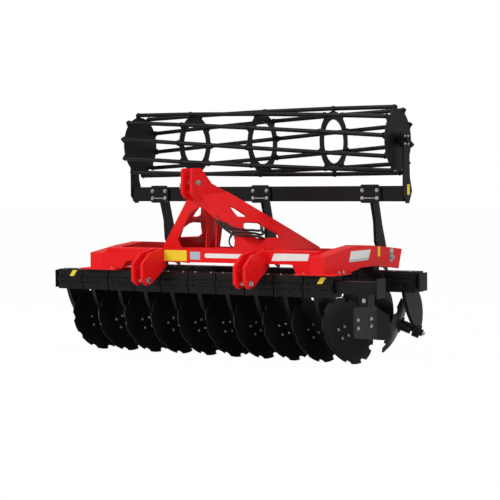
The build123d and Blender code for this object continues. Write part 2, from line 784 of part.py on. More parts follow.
shaft_start = roller_plate_x[-1] + roller_plate_thickness / 2
shaft_length = side_plate_x + side_plate_thickness / 2 + shaft_end - shaft_start
with BuildPart() as shaft:
    for side in (-1, 1):
        with BuildSketch(side_plane(side * shaft_start)):
            with Locations((at(roller_y), roller_z)):
                Circle(roller_shaft_radius)
        extrude(amount=side * shaft_length)
shaft.part.label = "roller_shaft_stubs"
export_step(shaft.part, "parts/roller_shaft_stubs.step")

print("disc centre height", round(disc_z, 2), "toolbar half", round(toolbar_half, 1))
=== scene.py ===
import json
import math

import bmesh
import bpy
from mathutils import Euler, Matrix, Vector


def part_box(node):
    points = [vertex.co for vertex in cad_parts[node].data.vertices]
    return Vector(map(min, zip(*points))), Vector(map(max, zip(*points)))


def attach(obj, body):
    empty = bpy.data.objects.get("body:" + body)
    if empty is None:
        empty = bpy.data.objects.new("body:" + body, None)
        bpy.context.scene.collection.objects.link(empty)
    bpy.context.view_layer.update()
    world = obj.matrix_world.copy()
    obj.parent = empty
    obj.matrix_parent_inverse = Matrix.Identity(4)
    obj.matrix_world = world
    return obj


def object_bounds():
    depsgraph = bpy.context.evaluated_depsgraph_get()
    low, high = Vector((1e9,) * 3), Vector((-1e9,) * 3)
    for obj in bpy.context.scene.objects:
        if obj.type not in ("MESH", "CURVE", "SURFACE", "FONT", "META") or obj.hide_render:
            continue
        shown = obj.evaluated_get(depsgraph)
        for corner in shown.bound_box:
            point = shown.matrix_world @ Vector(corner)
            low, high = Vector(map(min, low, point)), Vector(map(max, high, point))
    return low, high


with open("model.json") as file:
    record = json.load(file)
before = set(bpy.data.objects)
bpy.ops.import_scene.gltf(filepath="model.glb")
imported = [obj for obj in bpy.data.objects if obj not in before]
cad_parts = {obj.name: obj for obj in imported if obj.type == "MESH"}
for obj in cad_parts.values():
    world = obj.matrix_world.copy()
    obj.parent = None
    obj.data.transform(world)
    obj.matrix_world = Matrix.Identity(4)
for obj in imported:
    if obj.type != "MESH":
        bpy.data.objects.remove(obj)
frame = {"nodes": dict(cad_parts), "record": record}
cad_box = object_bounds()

# Studio floor and sky
# One very large pale sheet under an even sky. The camera sees both as nearly plain white, and every
# other ray meets the lit paper and a grey sky, so the blacks stay black and a trace of shadow is kept.
floor_gap = 0.0005
floor_half = 60.0
floor_white = 0.90
floor_roughness = 0.9
floor_veil = 0.985
sky_grey = 0.36
sky_white = 1.0
square_corners = ((-1, -1), (1, -1), (1, 1), (-1, 1))

floor_z = cad_box[0][2] - floor_gap
floor_mesh = bpy.data.meshes.new("studio_floor")
floor_corners = [(x * floor_half, y * floor_half, floor_z) for x, y in square_corners]
floor_mesh.from_pydata(floor_corners, [], [(0, 1, 2, 3)])
floor = bpy.data.objects.new("studio_floor", floor_mesh)
bpy.context.scene.collection.objects.link(floor)

floor_paper = bpy.data.materials.new("studio_paper")
floor_paper.use_nodes = True
tree = floor_paper.node_tree
paper = tree.nodes["Principled BSDF"]
paper.inputs["Base Color"].default_value = (floor_white, floor_white, floor_white, 1)
paper.inputs["Roughness"].default_value = floor_roughness
glow = tree.nodes.new("ShaderNodeEmission")
glow.inputs["Strength"].default_value = 1.0
veil = tree.nodes.new("ShaderNodeMath")
veil.operation = "MULTIPLY"
veil.inputs[1].default_value = floor_veil
tree.links.new(tree.nodes.new("ShaderNodeLightPath").outputs["Is Camera Ray"], veil.inputs[0])
blend = tree.nodes.new("ShaderNodeMixShader")
tree.links.new(veil.outputs[0], blend.inputs["Fac"])
tree.links.new(paper.outputs[0], blend.inputs[1])
tree.links.new(glow.outputs[0], blend.inputs[2])
tree.links.new(blend.outputs[0], tree.nodes["Material Output"].inputs["Surface"])
floor.data.materials.append(floor_paper)

world = bpy.data.worlds.new("studio_sky")
bpy.context.scene.world = world
world.use_nodes = True
tree = world.node_tree
for node in list(tree.nodes):
    tree.nodes.remove(node)
sky = tree.nodes.new("ShaderNodeMixShader")
tree.links.new(tree.nodes.new("ShaderNodeLightPath").outputs["Is Camera Ray"], sky.inputs["Fac"])
for socket, strength in ((1, sky_grey), (2, sky_white)):
    light = tree.nodes.new("ShaderNodeBackground")
    light.inputs["Color"].default_value = (1, 1, 1, 1)
    light.inputs["Strength"].default_value = strength
    tree.links.new(light.outputs[0], sky.inputs[socket])
tree.links.new(sky.outputs[0], tree.nodes.new("ShaderNodeOutputWorld").inputs["Surface"])
bpy.context.scene.view_settings.view_transform = "Standard"

# Camera and lamps
# A long lens looks from the machine's front left, a little above the frame, as the photograph
# does. Broad soft boxes stand left and right of the view, and a long one hangs over the machine.
toolbar_lead = 0.134
camera_right = 5.983
camera_ahead = 9.758
camera_height = 1.3465
camera_azimuth = math.radians(30.341)
camera_pitch = math.radians(2.666)
camera_roll = math.radians(-0.424)
camera_lens = 106.68
camera_sensor = 36.0
camera_reach = 400.0
machine_half_length = 0.4
machine_half_height = 0.9
lamps = (
    ("front_left_box", (-4.5, -8.0, 6.0), (3.0, 3.0), 430),
    ("front_right_box", (8.0, -4.0, 4.5), (2.5, 2.5), 210),
    ("top_box", (0.5, 1.0, 7.5), (6.0, 2.0), 230),
)

front_row_y = (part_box("front_toolbar")[0].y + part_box("front_toolbar")[1].y) / 2 + toolbar_lead
camera_place = Vector((camera_right, front_row_y - camera_ahead, camera_height))
camera_aim = Euler((math.pi / 2 - camera_pitch, 0, camera_azimuth)).to_matrix()
camera_aim = camera_aim @ Matrix.Rotation(camera_roll, 3, "Z")
lens = bpy.data.cameras.new("studio_camera")
lens.lens = camera_lens
lens.sensor_width = camera_sensor
lens.clip_end = camera_reach
camera = bpy.data.objects.new("studio_camera", lens)
camera.matrix_world = Matrix.Translation(camera_place) @ camera_aim.to_4x4()
bpy.context.scene.collection.objects.link(camera)
bpy.context.scene.camera = camera

machine_middle = Vector((0, front_row_y + machine_half_length, machine_half_height))
for name, place, size, power in lamps:
    lamp = bpy.data.lights.new(name, "AREA")
    lamp.shape = "RECTANGLE"
    lamp.size, lamp.size_y = size
    lamp.energy = power
    lamp_object = bpy.data.objects.new(name, lamp)
    lamp_object.location = place
    lamp_object.rotation_euler = (machine_middle - Vector(place)).to_track_quat("-Z", "Y").to_euler()
    bpy.context.scene.collection.objects.link(lamp_object)

# Painted and plated steel of the frame
# Sheet and tube, welded, shot blasted and powder coated, in red above and in satin black below.
# The coat has a fine orange peel, its edges carry a painted highlight, and field dust has settled on it.
bevel_samples = 4
peel_scale = 320
peel_depth = 0.001
edge_first = 0.995
edge_full = 0.90
dust_cloud_scale = 3.5
dust_cloud_detail = 6
dust_facing_least = -0.4
dust_below = 0.35
dust_dulling = 0.8


def coat_group():
    """Node group: what a sprayed coat's surface does, from a few named amounts."""
    group = bpy.data.node_groups.new("sprayed_coat", "ShaderNodeTree")
    face = group.interface
    for socket, start in (("Peel", 0.05), ("Edge", 0.002), ("Dust", 0.3), ("Gloss Roughness", 0.3)):
        face.new_socket(name=socket, in_out="INPUT", socket_type="NodeSocketFloat").default_value = start
    for socket, kind in (("Normal", "NodeSocketVector"), ("Dust Mask", "NodeSocketFloat"),
                         ("Edge Highlight Mask", "NodeSocketFloat"), ("Roughness", "NodeSocketFloat")):
        face.new_socket(name=socket, in_out="OUTPUT", socket_type=kind)
    nodes, links = group.nodes, group.links
    given = nodes.new("NodeGroupInput")
    result = nodes.new("NodeGroupOutput")
    place = nodes.new("ShaderNodeTexCoord")
    shape = nodes.new("ShaderNodeNewGeometry")

    # Orange peel over rounded edges
    rounded = nodes.new("ShaderNodeBevel")
    rounded.samples = bevel_samples
    links.new(given.outputs["Edge"], rounded.inputs["Radius"])
    peel = nodes.new("ShaderNodeTexNoise")
    peel.inputs["Scale"].default_value = peel_scale
    peel.inputs["Detail"].default_value = 1
    links.new(place.outputs["Object"], peel.inputs["Vector"])
    bump = nodes.new("ShaderNodeBump")
    bump.inputs["Distance"].default_value = peel_depth
    links.new(given.outputs["Peel"], bump.inputs["Strength"])
    links.new(peel.outputs["Fac"], bump.inputs["Height"])
    links.new(rounded.outputs[0], bump.inputs["Normal"])
    links.new(bump.outputs[0], result.inputs["Normal"])

    # Painted highlight on the edges, where the rounded normal leaves the flat one
    along = nodes.new("ShaderNodeVectorMath")
    along.operation = "DOT_PRODUCT"
    links.new(rounded.outputs[0], along.inputs[0])
    links.new(shape.outputs["Normal"], along.inputs[1])
    edge = nodes.new("ShaderNodeMapRange")
    edge.inputs["From Min"].default_value = edge_first
    edge.inputs["From Max"].default_value = edge_full
    links.new(along.outputs["Value"], edge.inputs["Value"])
    links.new(edge.outputs[0], result.inputs["Edge Highlight Mask"])

    # Dust in clouds, more of it on what faces up
    cloud = nodes.new("ShaderNodeTexNoise")
    cloud.inputs["Scale"].default_value = dust_cloud_scale
    cloud.inputs["Detail"].default_value = dust_cloud_detail
    links.new(place.outputs["Object"], cloud.inputs["Vector"])
    facing = nodes.new("ShaderNodeSeparateXYZ")
    links.new(shape.outputs["Normal"], facing.inputs[0])
    up = nodes.new("ShaderNodeMapRange")
    up.inputs["From Min"].default_value = dust_facing_least
    up.inputs["To Min"].default_value = dust_below
    links.new(facing.outputs["Z"], up.inputs["Value"])
    settled = nodes.new("ShaderNodeMath")
    settled.operation = "MULTIPLY"
    links.new(cloud.outputs["Fac"], settled.inputs[0])
    links.new(up.outputs[0], settled.inputs[1])
    mask = nodes.new("ShaderNodeMath")
    mask.operation = "MULTIPLY"
    mask.use_clamp = True
    links.new(settled.outputs[0], mask.inputs[0])
    links.new(given.outputs["Dust"], mask.inputs[1])
    links.new(mask.outputs[0], result.inputs["Dust Mask"])

    # Dust also dulls the gloss
    duller = nodes.new("ShaderNodeMath")
    duller.operation = "MULTIPLY_ADD"
    duller.inputs[1].default_value = dust_dulling
    links.new(mask.outputs[0], duller.inputs[0])
    links.new(given.outputs["Gloss Roughness"], duller.inputs[2])
    links.new(duller.outputs[0], result.inputs["Roughness"])
    return group


sprayed_coat = coat_group()


def coated(name, colour, dust_colour, edge_highlight_colour, peel, edge, dust, roughness, metallic=0.0, coat=0.0,
           specular=0.5):
    """A painted, plated or moulded surface, from the sprayed coat's masks; its edges get a painted
    highlight.
    """
    material = bpy.data.materials.new(name)
    material.use_nodes = True
    nodes, links = material.node_tree.nodes, material.node_tree.links
    shader = nodes["Principled BSDF"]
    shader.inputs["Metallic"].default_value = metallic
    shader.inputs["Coat Weight"].default_value = coat
    shader.inputs["Specular IOR Level"].default_value = specular
    surface = nodes.new("ShaderNodeGroup")
    surface.node_tree = sprayed_coat
    for socket, value in (("Peel", peel), ("Edge", edge), ("Dust", dust), ("Gloss Roughness", roughness)):
        surface.inputs[socket].default_value = value
    # The edge colour is laid over the edges as a painted highlight; dust then goes over both.
    edge_highlight = nodes.new("ShaderNodeMix")
    edge_highlight.data_type = "RGBA"
    edge_highlight.inputs["A"].default_value = (*colour, 1)
    edge_highlight.inputs["B"].default_value = (*edge_highlight_colour, 1)
    links.new(surface.outputs["Edge Highlight Mask"], edge_highlight.inputs["Factor"])
    dusty = nodes.new("ShaderNodeMix")
    dusty.data_type = "RGBA"
    dusty.inputs["B"].default_value = (*dust_colour, 1)
    links.new(surface.outputs["Dust Mask"], dusty.inputs["Factor"])
    links.new(edge_highlight.outputs["Result"], dusty.inputs["A"])
    links.new(dusty.outputs["Result"], shader.inputs["Base Color"])
    links.new(surface.outputs["Roughness"], shader.inputs["Roughness"])
    links.new(surface.outputs["Normal"], shader.inputs["Normal"])
    return material


# Each edge colour is a lighter copy of its finish, used as a painted highlight on the edges.
red_paint = coated(
    "red_enamel", colour=(0.82, 0.008, 0.010), dust_colour=(0.50, 0.04, 0.03),
    edge_highlight_colour=(0.90, 0.030, 0.025), peel=0.05, edge=0.003, dust=0.07, roughness=0.40, coat=0.04,
    specular=0.16)
black_paint = coated(
    "black_enamel", colour=(0.0035, 0.0035, 0.004), dust_colour=(0.020, 0.019, 0.018),
    edge_highlight_colour=(0.03, 0.03, 0.032), peel=0.10, edge=0.002, dust=0.10, roughness=0.40, specular=0.2)
disc_paint = coated(
    "disc_black", colour=(0.005, 0.005, 0.0055), dust_colour=(0.022, 0.020, 0.018),
    edge_highlight_colour=(0.06, 0.06, 0.06), peel=0.08, edge=0.0015, dust=0.12, roughness=0.38, specular=0.22)
zinc_plate = coated(
    "zinc_plate", colour=(0.50, 0.51, 0.51), dust_colour=(0.30, 0.28, 0.25), edge_highlight_colour=(0.75, 0.75, 0.75),
    peel=0.04, edge=0.001, dust=0.25, roughness=0.32, metallic=1.0)
finish_of = {"red_paint": red_paint, "black_paint": black_paint, "disc_steel": disc_paint,
             "zinc_steel": zinc_plate}
for part in frame["record"]["subparts"]:
    cad_piece = frame["nodes"][part["node"]]
    cad_piece.data.materials.clear()
    cad_piece.data.materials.append(finish_of[part["material_slot"]])

# Blade bolts
# Four bolts with washers hold each blade to its hub, in a square on the hollow face. They are rolled
# steel, zinc plated, each with a hexagon head and the end of its thread standing proud.
mm_per_metre = 1000
row_spacing = 748.0
disc_pitch = 250.0
row_stagger = 125.0
discs_per_row = 10
disc_yaw = math.radians(17.3)
disc_tilt = math.radians(20.4)
disc_middle_z = 220.88
first_disc_x = (discs_per_row - 1) * disc_pitch / 2 + row_stagger / 2
rows = (("front", 0.0, 1), ("rear", row_spacing, -1))
blade_thickness = 6.0
blade_bolt_circle = 50.0
blade_bolt_radius = 8.5
blade_bolt_angles = (45, 135, 225, 315)
blade_turn_step = 7
blade_bolt_turn = 0.4
washer_corners = 18
thread_corners = 10


def spot(x, y, z):
    """Place in the scene, from millimetres across, behind the front disc row and above the floor."""
    return Vector((x / mm_per_metre, front_row_y + y / mm_per_metre, z / mm_per_metre))


def ring_at(mesh, place, aim, radius, corners, start=0.0, height=0.0):
    """Add a ring of points round a place; its plane stands across the aim."""
    ring = []
    for corner in range(corners):
        angle = start + corner * math.tau / corners
        local = Vector((radius * math.cos(angle), radius * math.sin(angle), height)) / mm_per_metre
        ring.append(mesh.verts.new(place + aim @ local))
    return ring


def close_rings(mesh, rings):
    """Join each ring to the next one with faces and close both ends."""
    for low, high in zip(rings[:-1], rings[1:]):
        for corner in range(len(low)):
            after = (corner + 1) % len(low)
            mesh.faces.new((low[corner], low[after], high[after], high[corner]))
    mesh.faces.new(rings[0][::-1])
    mesh.faces.new(rings[-1])


def turned(mesh, place, axis, profile, corners, start=0.0):
    """Add a turned or hexagonal solid along an axis; the profile holds (radius, height) in mm."""
    aim = Vector(axis).to_track_quat("Z", "Y").to_matrix()
    rings = [ring_at(mesh, place, aim, radius, corners, start, height) for radius, height in profile]
    close_rings(mesh, rings)


def bolt(mesh, place, axis, radius, start=0.3):
    """Add a washer, a hexagon head and a thread's end, standing on a face at the place."""
    washer = [(radius * 1.25, -0.4), (radius * 1.25, radius * 0.14), (radius * 1.18, radius * 0.18)]
    head = [(radius, radius * 0.16), (radius, radius * 0.66), (radius * 0.84, radius * 0.80)]
    thread = [(radius * 0.5, radius * 0.7), (radius * 0.5, radius * 1.1), (radius * 0.4, radius * 1.2)]
    turned(mesh, place, axis, washer, washer_corners)
    turned(mesh, place, axis, head, 6, start)
    turned(mesh, place, axis, thread, thread_corners)


def piece(name, mesh, material, body):
    """Make the scene's object from a mesh in work and fasten it to a body."""
    bmesh.ops.recalc_face_normals(mesh, faces=mesh.faces)
    data = bpy.data.meshes.new(name)
    mesh.to_mesh(data)
    mesh.free()
    data.materials.append(material)
    made = bpy.data.objects.new(name, data)
    bpy.context.scene.collection.objects.link(made)
    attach(made, body)


def disc_x(side, number):
    """How far across a disc's middle stands."""
    return side * (number * disc_pitch - first_disc_x)


def disc_normal(side):
    """The way a disc's hollow face looks."""
    return Vector((side * math.cos(disc_tilt) * math.cos(disc_yaw),
                   -math.cos(disc_tilt) * math.sin(disc_yaw), math.sin(disc_tilt)))


for row, row_y, side in rows:
    normal = disc_normal(side)
    across = Vector((math.sin(disc_yaw), side * math.cos(disc_yaw), 0))
    upward = normal.cross(across)
    for number in range(discs_per_row):
        middle = spot(disc_x(side, number), row_y, disc_middle_z)
        bolts = bmesh.new()
        for bolt_angle in blade_bolt_angles:
            angle = math.radians(bolt_angle + blade_turn_step * ((number * 3) % 5))
            away = (across * math.cos(angle) + upward * math.sin(angle)) * blade_bolt_circle / mm_per_metre
            place = middle + away + normal * blade_thickness / mm_per_metre
            bolt(bolts, place, normal, blade_bolt_radius, number * blade_bolt_turn)
        piece(f"blade_bolts_{row}_{number + 1:02d}", bolts, zinc_plate, f"{row}_disc_{number + 1:02d}")

# Spindle nuts
# A steel washer and nut, zinc plated, close each spindle on the outer side of its arm's boss. The
# spindle's end stands a few turns of thread out of the nut.
spindle_cap_face = 181.3
spindle_nut_radius = 17.0
spindle_nut_turn = 0.5

nuts = bmesh.new()
for row, row_y, side in rows:
    for number in range(discs_per_row):
        middle = spot(disc_x(side, number), row_y, disc_middle_z)
        normal = disc_normal(side)
        cap = middle - normal * spindle_cap_face / mm_per_metre
        bolt(nuts, cap, -normal, spindle_nut_radius, number * spindle_nut_turn)
piece("spindle_nuts", nuts, zinc_plate, "frame")

# Clamp housings' bolts and cast relief
# Each housing is two cast halves drawn together by lip bolts; low panels and a bolt boss are cast
# into the front and rear faces. All are painted over in black, with zinc heads on top.
toolbar_z = 570.0
toolbar_behind_row = -134.0
clamp_depth = 147.0
clamp_height = 158.0
clamp_shift = 22.0
boss_reach = 133.0
panel_depth = 3.0
panel_slope = 4.0
panel_sink = 0.3
upper_panel_rise = 48.0
upper_panel_half = (96, 22)
lower_panel_drop = 46.0
lower_panel_shift = 62.0
lower_panel_half = (34, 24)
clamp_boss_drop = 40.0
clamp_boss_radius = 12.0
lip_bolt_shift = 94.0
lip_bolt_out = 8.0
lip_bolt_radius = 9.0
lip_top = 13.5
top_bolt_shift = 70.0
top_bolt_lead = 52.0
top_bolt_radius = 9.0
foot_inner_x = 780.0
foot_outer_x = 1150.0
wide = Vector((1, 0, 0))
high = Vector((0, 0, 1))


def raised_panel(mesh, place, out, half_size, depth, slope):
    """Add a low panel with sloping sides, standing on an upright face at the place."""
    loops = []
    for inset, height in ((0.0, -panel_sink), (slope, depth)):
        loop = []
        for sx, sy in square_corners:
            sideways = wide * (sx * (half_size[0] - inset))
            upwards = high * (sy * (half_size[1] - inset))
            loop.append(mesh.verts.new(place + (sideways + upwards + out * height) / mm_per_metre))
        loops.append(loop)
    close_rings(mesh, loops)


relief = bmesh.new()
heads = bmesh.new()
for row, row_y, side in rows:
    bar_y = row_y + toolbar_behind_row
    for number in range(discs_per_row):
        arm_x = disc_x(side, number) - side * boss_reach * math.cos(disc_tilt) * math.cos(disc_yaw)
        clamp_x = arm_x + side * clamp_shift
        for face in (-1, 1):
            out = Vector((0, face, 0))
            wall_y = bar_y + face * clamp_depth / 2
            raised_panel(relief, spot(clamp_x, wall_y, toolbar_z + upper_panel_rise), out, upper_panel_half,
                         panel_depth, panel_slope)
            for end in (-1, 1):
                lower_panel = spot(clamp_x + end * lower_panel_shift, wall_y, toolbar_z - lower_panel_drop)
                raised_panel(relief, lower_panel, out, lower_panel_half, panel_depth, panel_slope)
            bolt(relief, spot(clamp_x, wall_y, toolbar_z - clamp_boss_drop), out, clamp_boss_radius)
            for end in (-1, 1):
                for way in (1, -1):
                    lip = spot(clamp_x + end * lip_bolt_shift, wall_y + face * lip_bolt_out,
                               toolbar_z + way * lip_top)
                    bolt(relief, lip, (0, 0, way), lip_bolt_radius)
        if abs(clamp_x) > foot_outer_x or abs(clamp_x) < foot_inner_x:
            for end in (-1, 1):
                x = clamp_x + end * top_bolt_shift
                top = spot(x, bar_y - top_bolt_lead, toolbar_z + clamp_height / 2)
                bolt(heads, top, (0, 0, 1), top_bolt_radius)
piece("clamp_relief_and_bolts", relief, black_paint, "frame")
piece("clamp_top_bolts", heads, zinc_plate, "frame")

# Feet's bolts and pivot washers of the wings
# Two zinc plated bolts hold each foot plate's outer end and a third its front. Each fold pin has a
# turned collar on both sides of its wing and a nut on the outer end.
foot_top_z = 668.0
foot_outer_bolts = ((1085, -105), (1085, -32))
foot_front_bolt = (860, -225)
foot_bolt_radius = 12.0
wing_outer_x = 1043.0
wing_inner_x = 932.0
fold_pin_y = 885.0
fold_pin_z = 740.0
fold_pin_end_x = 1061.0
fold_nut_radius = 13.0
fold_collar = [(38, -0.2), (38, 4), (34, 5), (24, 5), (24, 11), (22, 12)]

fastenings = bmesh.new()
for side in (-1, 1):
    for x, y in (*foot_outer_bolts, foot_front_bolt):
        bolt(fastenings, spot(side * x, y, foot_top_z), (0, 0, 1), foot_bolt_radius)
    for face_x, way in ((wing_outer_x, side), (wing_inner_x, -side)):
        turned(fastenings, spot(side * face_x, fold_pin_y, fold_pin_z), (way, 0, 0), fold_collar, 28)
    bolt(fastenings, spot(side * fold_pin_end_x, fold_pin_y, fold_pin_z), (side, 0, 0), fold_nut_radius)
piece("wing_fastenings", fastenings, zinc_plate, "frame")

# Deflector's bolts
# Four zinc plated steel bolts go through the side deflector, two above and two below, and a nut
# shows on the front of its post.
deflector_face_x = 1368.0
deflector_bolt_places = ((-376, 360), (-158, 352), (-372, 300), (-158, 300))
deflector_bolt_radius = 12.0
post_nut_place = (1325, -184, 480)
post_nut_radius = 13.0

deflector_bolts = bmesh.new()
for y, z in deflector_bolt_places:
    bolt(deflector_bolts, spot(deflector_face_x, y, z), (1, 0, 0), deflector_bolt_radius)
bolt(deflector_bolts, spot(*post_nut_place), (0, -1, 0), post_nut_radius)
piece("deflector_bolts", deflector_bolts, zinc_plate, "frame")

# Weld seams of the red frame
# Rippled fillet welds run along the mast plate's foot, the link ears and the hitch ears, and where
# the crossbeams meet the wings. They are steel, painted over with the frame.
weld_radius = 4.5
slim_weld_radius = 4.0
beam_weld_radius = 3.5
weld_pitch = 6.0
weld_dip = 0.78
weld_corners = 6
beam_weld_y = -181.0
beam_weld_z = (730, 822)
mast_weld = (250, 400, 827)
wing_weld_x = 931.0
beam_back_weld = (420, -80, 826)
ear_face_xs = (398.6, 422.6, 482.6, 506.6)
link_ear_weld = ((51, -330, 1196), (51, -352, 1248))
rear_beam_weld_ys = (651, 749)
rear_beam_weld_z = (710, 800)


def weld(mesh, start, end, radius=weld_radius):
    """Add a rippled bead from start to end."""
    run = end - start
    count = 2 * max(3, int(run.length * mm_per_metre / weld_pitch))
    aim = run.to_track_quat("Z", "Y").to_matrix()
    rings = []
    for step in range(count + 1):
        swell = radius * (1.0 if step % 2 else weld_dip)
        rings.append(ring_at(mesh, start + run * step / count, aim, swell, weld_corners))
    close_rings(mesh, rings)


seams = bmesh.new()
mast_weld_inner, mast_weld_outer, mast_weld_z = mast_weld
for x0, x1 in ((-mast_weld_outer, -mast_weld_inner), (mast_weld_inner, mast_weld_outer)):
    weld(seams, spot(x0, beam_weld_y, mast_weld_z), spot(x1, beam_weld_y, mast_weld_z))
for side in (-1, 1):
    weld(seams, *(spot(side * wing_weld_x, beam_weld_y, z) for z in beam_weld_z))
    back_start_x, back_y, back_z = beam_back_weld
    weld(seams, spot(side * back_start_x, back_y, back_z), spot(side * wing_weld_x, back_y, back_z),
         beam_weld_radius)
    for x in ear_face_xs:
        weld(seams, *(spot(side * x, beam_weld_y, z) for z in beam_weld_z), slim_weld_radius)
    weld(seams, *(spot(side * x, y, z) for x, y, z in link_ear_weld), slim_weld_radius)
    for y in rear_beam_weld_ys:
        weld(seams, *(spot(side * wing_weld_x, y, z) for z in rear_beam_weld_z), slim_weld_radius)
piece("frame_welds", seams, red_paint, "frame")

# Hitch pins' heads, collars and linch pins
# The lower pins carry a turned head outside and a zinc plated linch pin with its sprung ring inside;
# the top link's pin has a bent handle and the same linch pin.
lower_pin_x = 452.6
lower_pin_half = 54.0
lower_pin_y = -405.0
lower_pin_z = 592.0
lower_head = [(14.2, 0), (22, 0.5), (22, 8), (19, 10)]
lower_head_tip = [(14.3, 0), (14.3, 6), (9, 10)]
lower_head_tip_out = 20.0
lower_collar = [(14.2, 0), (21, 0.5), (21, 5), (18, 6)]
lower_linch_out = 15.0
lower_linch_size = 16.0
top_pin_half = 50.0
top_pin_y = -400.0
top_pin_z = 1335.0
top_head = [(12.7, 0), (20, 0.5), (20, 6), (17, 8)]
top_collar = [(12.7, 0), (19, 0.5), (19, 5), (16, 6)]
top_linch_x = 68.0
top_linch_size = 15.0
handle_bend = ((-78, 0), (-90, 0), (-96, -7), (-98, -45))
handle_radius = 6.0
ring_steps = 24


def bent_rod(mesh, points, radius, corners=10):
    """Add a round rod through a list of places."""
    rings = []
    for index, place in enumerate(points):
        before = points[max(index - 1, 0)]
        after = points[min(index + 1, len(points) - 1)]
        aim = (after - before).to_track_quat("Z", "Y").to_matrix()
        rings.append(ring_at(mesh, place, aim, radius, corners))
    close_rings(mesh, rings)


def linch_pin(mesh, place, way, size):
    """Add a linch pin across a pin's end, with its ring laid over."""
    stem = [(0.2, 0), (0.28, 0.3), (0.28, 2.2), (0.42, 2.3), (0.42, 2.7), (0.3, 2.8)]
    foot = place - Vector((0, 0, size * 1.3 / mm_per_metre))
    turned(mesh, foot, (0, 0, 1), [(size * radius, size * height) for radius, height in stem], 12)
    ring = []
    for step in range(ring_steps + 1):
        angle = step * math.tau / ring_steps
        ring.append(place + Vector((way * (0.3 + 0.25 * math.sin(angle)) * size, math.cos(angle) * size,
                                    math.sin(angle) * size * 0.95)) / mm_per_metre)
    bent_rod(mesh, ring, size * 0.11, 6)


trim = bmesh.new()
for side in (-1, 1):
    outer_x = side * (lower_pin_x + lower_pin_half)
    inner_x = side * (lower_pin_x - lower_pin_half)
    turned(trim, spot(outer_x, lower_pin_y, lower_pin_z), (side, 0, 0), lower_head, 24)
    turned(trim, spot(outer_x + side * lower_head_tip_out, lower_pin_y, lower_pin_z), (side, 0, 0),
           lower_head_tip, 18)
    turned(trim, spot(inner_x, lower_pin_y, lower_pin_z), (-side, 0, 0), lower_collar, 24)
    linch_place = spot(inner_x - side * lower_linch_out, lower_pin_y, lower_pin_z)
    linch_pin(trim, linch_place, -side, lower_linch_size)
turned(trim, spot(top_pin_half, top_pin_y, top_pin_z), (1, 0, 0), top_head, 24)
turned(trim, spot(-top_pin_half, top_pin_y, top_pin_z), (-1, 0, 0), top_collar, 24)
linch_pin(trim, spot(top_linch_x, top_pin_y, top_pin_z), 1, top_linch_size)
bent_rod(trim, [spot(x, top_pin_y, top_pin_z + drop) for x, drop in handle_bend], handle_radius)
piece("hitch_pin_trim", trim, zinc_plate, "frame")

# Roller clamps' bolts and the bearings' bolts
# Four long bolts draw each clamp plate to the beam, with zinc plated heads and nuts on its front and
# rear, and a thin strip joins the lower ones. Four bolts hold each bearing to its side plate.
roller_arm_xs = (-981, 0, 981)
grip_bolt_shift = 63.0
grip_bolt_zs = (1267, 1207)
grip_faces = ((625, -1), (765, 1))
grip_bolt_radius = 12.5
strip_half = (52, 4)
strip_depth = 3.0
strip_slope = 1.0
roller_y = 680.0
roller_z = 1653.0
bearing_face_x = 1271.0
bearing_bolt_circle = 40.0
bearing_bolt_radius = 9.0

grips = bmesh.new()
for x in roller_arm_xs:
    for end in (-1, 1):
        for z in grip_bolt_zs:
            for y, way in grip_faces:
                bolt(grips, spot(x + end * grip_bolt_shift, y, z), (0, way, 0), grip_bolt_radius)
    raised_panel(grips, spot(x, grip_faces[0][0], grip_bolt_zs[1]), Vector((0, -1, 0)), strip_half,
                 strip_depth, strip_slope)
for side in (-1, 1):
    for corner in range(4):
        angle = math.radians(45 + 90 * corner)
        place = spot(side * bearing_face_x, roller_y + bearing_bolt_circle * math.cos(angle),
                     roller_z + bearing_bolt_circle * math.sin(angle))
        bolt(grips, place, (side, 0, 0), bearing_bolt_radius)
piece("roller_frame_bolts", grips, zinc_plate, "roller_frame")

# Cage roller's bar ends
# Every bar goes through its plates and rings with a weld collar on each face, and is bolted on the
# outer faces of the two end plates. Collars and bolts are steel, painted over in black.
roller_plate_xs = (-1199.0, -647.0, 0.0, 647.0, 1199.0)
roller_plate_half = 4.0
roller_outer_from = 1100.0
bars = 10
bar_circle = 258.0
bar_twist = 40.0
bar_phase = 29.0
bar_bolt_radius = 14.0
bar_collar = [(21.5, -0.2), (21.5, 5), (18, 9)]

ends = bmesh.new()
for plate_x in roller_plate_xs:
    turn = bar_twist * (plate_x - roller_plate_xs[0]) / (roller_plate_xs[-1] - roller_plate_xs[0])
    for bar in range(bars):
        angle = math.radians(bar * 360 / bars + bar_phase - turn)
        y = roller_y + bar_circle * math.sin(angle)
        z = roller_z + bar_circle * math.cos(angle)
        for way in (-1, 1):
            place = spot(plate_x + way * roller_plate_half, y, z)
            if plate_x * way < roller_outer_from:
                turned(ends, place, (way, 0, 0), bar_collar, 16)
            else:
                bolt(ends, place, (way, 0, 0), bar_bolt_radius)
piece("roller_bar_ends", ends, black_paint, "roller")
